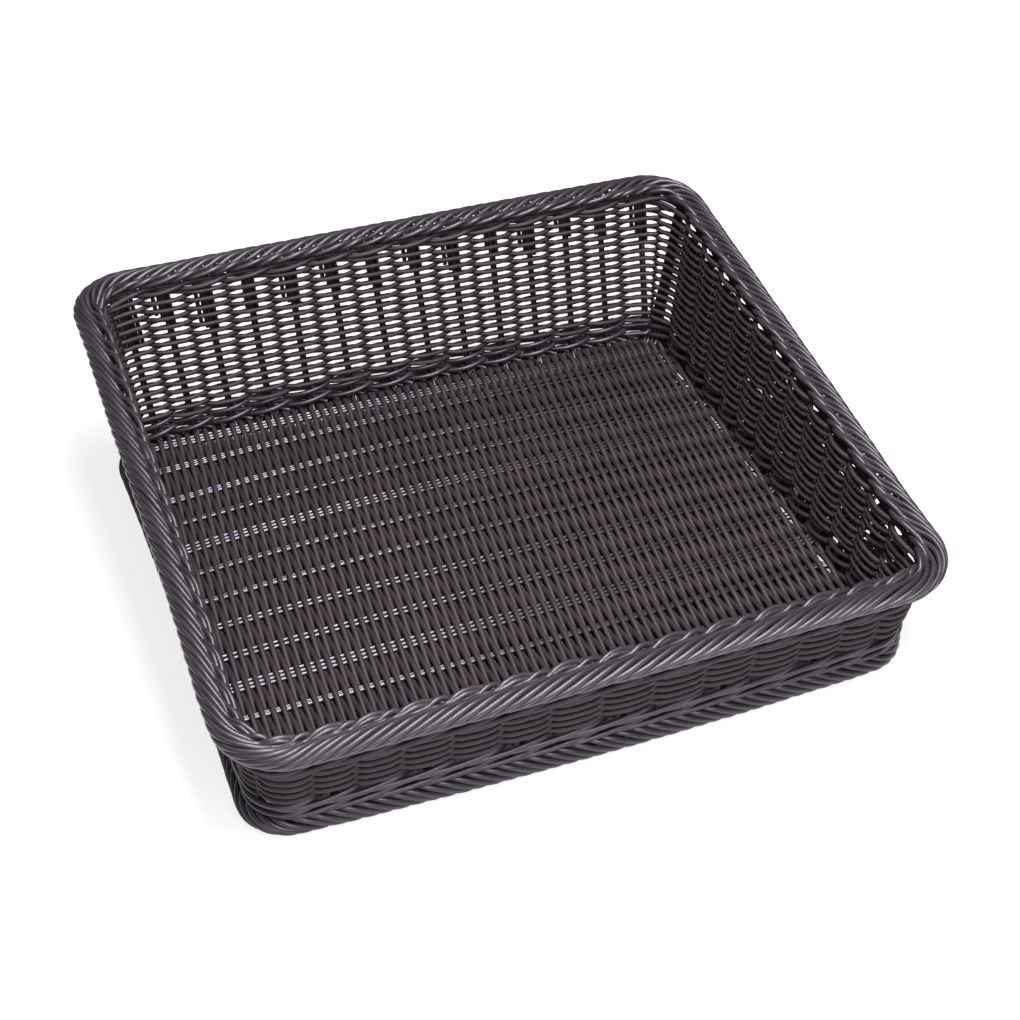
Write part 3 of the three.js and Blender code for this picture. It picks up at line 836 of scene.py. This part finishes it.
# Lowest height of a tail's middle, so that the basket stands flat.
FOOT_LOWEST = 1.45
WRAP_FOOT = [(-5, -3.0, 3.0), (0, -0.6, 4.3), (6, 2.2, 3.9), (13, 3.8, 1.3), (21, 3.8, -1.8),
             (28, 2.2, -4.0), (35, -0.9, -4.4), (42, -3.4, -3.0), (47, -3.9, -0.5)]
FOOT_MIDDLE = node_box("foot_border")[1][2] / 2
foot_plan = Outline(half_x=185.2, half_y=163.0, radius=22.5, side_bow=-1.5, end_bow=3.8,
                    shift_y=0.6)
foot_lines = []
spacing = foot_plan.length / FOOT_TAILS
keys = smooth_line(WRAP_FOOT)
for index in range(FOOT_TAILS):
    point, normal = foot_plan.at_run(index * spacing + keys[:, 0] + rng.normal(0, 0.4))
    place = point + normal * (keys[:, 1] + wander(len(keys), size=0.1, knots=5))[:, None]
    z = np.maximum(FOOT_MIDDLE + keys[:, 2], FOOT_LOWEST)
    foot_lines.append((np.column_stack([place, z]), False))
strand_piece("foot_border_strands", foot_lines, border_strand, ["foot_border"],
             thickness=FOOT_STRAND)

# Floor
# A plain pale floor that takes the basket's shadow. It glows for the camera alone, so that it
# comes out white. Where the base covers it, a patch of painted shade keeps it dark, so that no
# white shows between the strands of the base.
FLOOR = 6.0
# Half width and half depth of the patch of painted shade under the base.
PAINTED_SHADE_HALF_WIDTH = 0.179
PAINTED_SHADE_HALF_DEPTH = 0.157
SHADED = 0.05
PALE = 0.9
LESS_WHEN_SEEN = 0.6
GLOW = 0.8
corners = [(-FLOOR, -FLOOR, 0), (FLOOR, -FLOOR, 0), (FLOOR, FLOOR, 0), (-FLOOR, FLOOR, 0)]
floor_mesh = bpy.data.meshes.new("floor")
floor_mesh.from_pydata(corners, [], [(0, 1, 2, 3)])
floor = bpy.data.objects.new("floor", floor_mesh)
bpy.context.scene.collection.objects.link(floor)
floor_material = bpy.data.materials.new("white floor")
floor_material.use_nodes = True
floor_material.node_tree.nodes.clear()
floor_nodes = Nodes(floor_material.node_tree)
seen = floor_nodes.add("ShaderNodeLightPath", output="Is Camera Ray")
spot = floor_nodes.add("ShaderNodeTexCoord", output="Object")
# Painted shade: a dark patch of floor the size of the base, where the floor neither lights up
# nor glows.
in_painted_shade = []
for axis, reach in enumerate((PAINTED_SHADE_HALF_WIDTH, PAINTED_SHADE_HALF_DEPTH)):
    along_axis = floor_nodes.add("ShaderNodeSeparateXYZ", None, {0: spot}, output=axis)
    in_painted_shade.append(floor_nodes.add("ShaderNodeMath", {"operation": "COMPARE"},
                                  {0: along_axis, 1: 0.0, 2: reach}))
# outside is 1 beyond the patch of painted shade and 0 within it.
outside = 1 - in_painted_shade[0] * in_painted_shade[1]
brightness = outside * (PALE - seen * LESS_WHEN_SEEN) + SHADED
floor_colour = floor_nodes.add("ShaderNodeCombineColor", None,
                               {0: brightness, 1: brightness, 2: brightness})
plain = floor_nodes.add("ShaderNodeBsdfDiffuse", None, {"Color": floor_colour})
glow = floor_nodes.add("ShaderNodeEmission", None,
                       {"Color": (1, 1, 1, 1), "Strength": seen * outside * GLOW})
both = floor_nodes.add("ShaderNodeAddShader", None, {0: plain, 1: glow})
floor_nodes.add("ShaderNodeOutputMaterial", None, {"Surface": both})
floor_mesh.materials.append(floor_material)

# Light
# A dim even room that the camera sees as white, with one soft box overhead and a wide one
# high in front of the basket.
ROOM = 0.1
world = bpy.data.worlds.new("studio")
bpy.context.scene.world = world
world.use_nodes = True
world.node_tree.nodes.clear()
world_nodes = Nodes(world.node_tree)
camera_ray = world_nodes.add("ShaderNodeLightPath", output="Is Camera Ray")
sky = world_nodes.add("ShaderNodeBackground", None,
                      {"Color": (1, 1, 1, 1), "Strength": camera_ray * (1 - ROOM) + ROOM})
world_nodes.add("ShaderNodeOutputWorld", None, {"Surface": sky})


def lamp(name, place, target, size, power, colour):
    """A rectangular soft box that faces a target."""
    light = bpy.data.lights.new(name, "AREA")
    light.shape = "RECTANGLE"
    light.size, light.size_y = size
    light.energy = power
    light.color = colour
    holder = bpy.data.objects.new(name, light)
    holder.location = place
    holder.rotation_euler = (Vector(target) - Vector(place)).to_track_quat("-Z", "Y").to_euler()
    bpy.context.scene.collection.objects.link(holder)


lamp("top softbox", place=(0.04, -0.2, 1.05), target=(0.04, -0.17, 0), size=(0.36, 0.9),
     power=17.5, colour=(0.96, 0.91, 1.0))
lamp("front softbox", place=(0.0, -1.1, 1.0), target=(0, -0.1, 0.05), size=(1.0, 0.35),
     power=9, colour=(0.92, 0.86, 1.0))

# Camera
# It stands in front and to the left of the basket and looks down at it. Angles, place and
# focal length come from a perspective fit to the stakes and the outline of the basket.
YAW, DOWN, ROLL = math.radians(21.81), math.radians(40.21), math.radians(1.07)
FOCAL_PIXELS = 1805.66
FRAME_PIXELS = 1020
SENSOR = 36
CAMERA_PLACE = Vector((-0.28642, -0.74408, 0.70717))
ahead = Vector((math.sin(YAW) * math.cos(DOWN), math.cos(YAW) * math.cos(DOWN), -math.sin(DOWN)))
level = Vector((math.cos(YAW), -math.sin(YAW), 0))
above = level.cross(ahead)
right = level * math.cos(ROLL) + above * math.sin(ROLL)
up = above * math.cos(ROLL) - level * math.sin(ROLL)
camera_data = bpy.data.cameras.new("camera")
camera_data.sensor_width = SENSOR
camera_data.lens = FOCAL_PIXELS / FRAME_PIXELS * SENSOR
camera = bpy.data.objects.new("camera", camera_data)
turn = Matrix((right, up, -ahead)).transposed().to_4x4()
camera.matrix_world = Matrix.Translation(CAMERA_PLACE) @ turn
bpy.context.scene.collection.objects.link(camera)
bpy.context.scene.camera = camera
bpy.context.scene.view_settings.view_transform = "Standard"
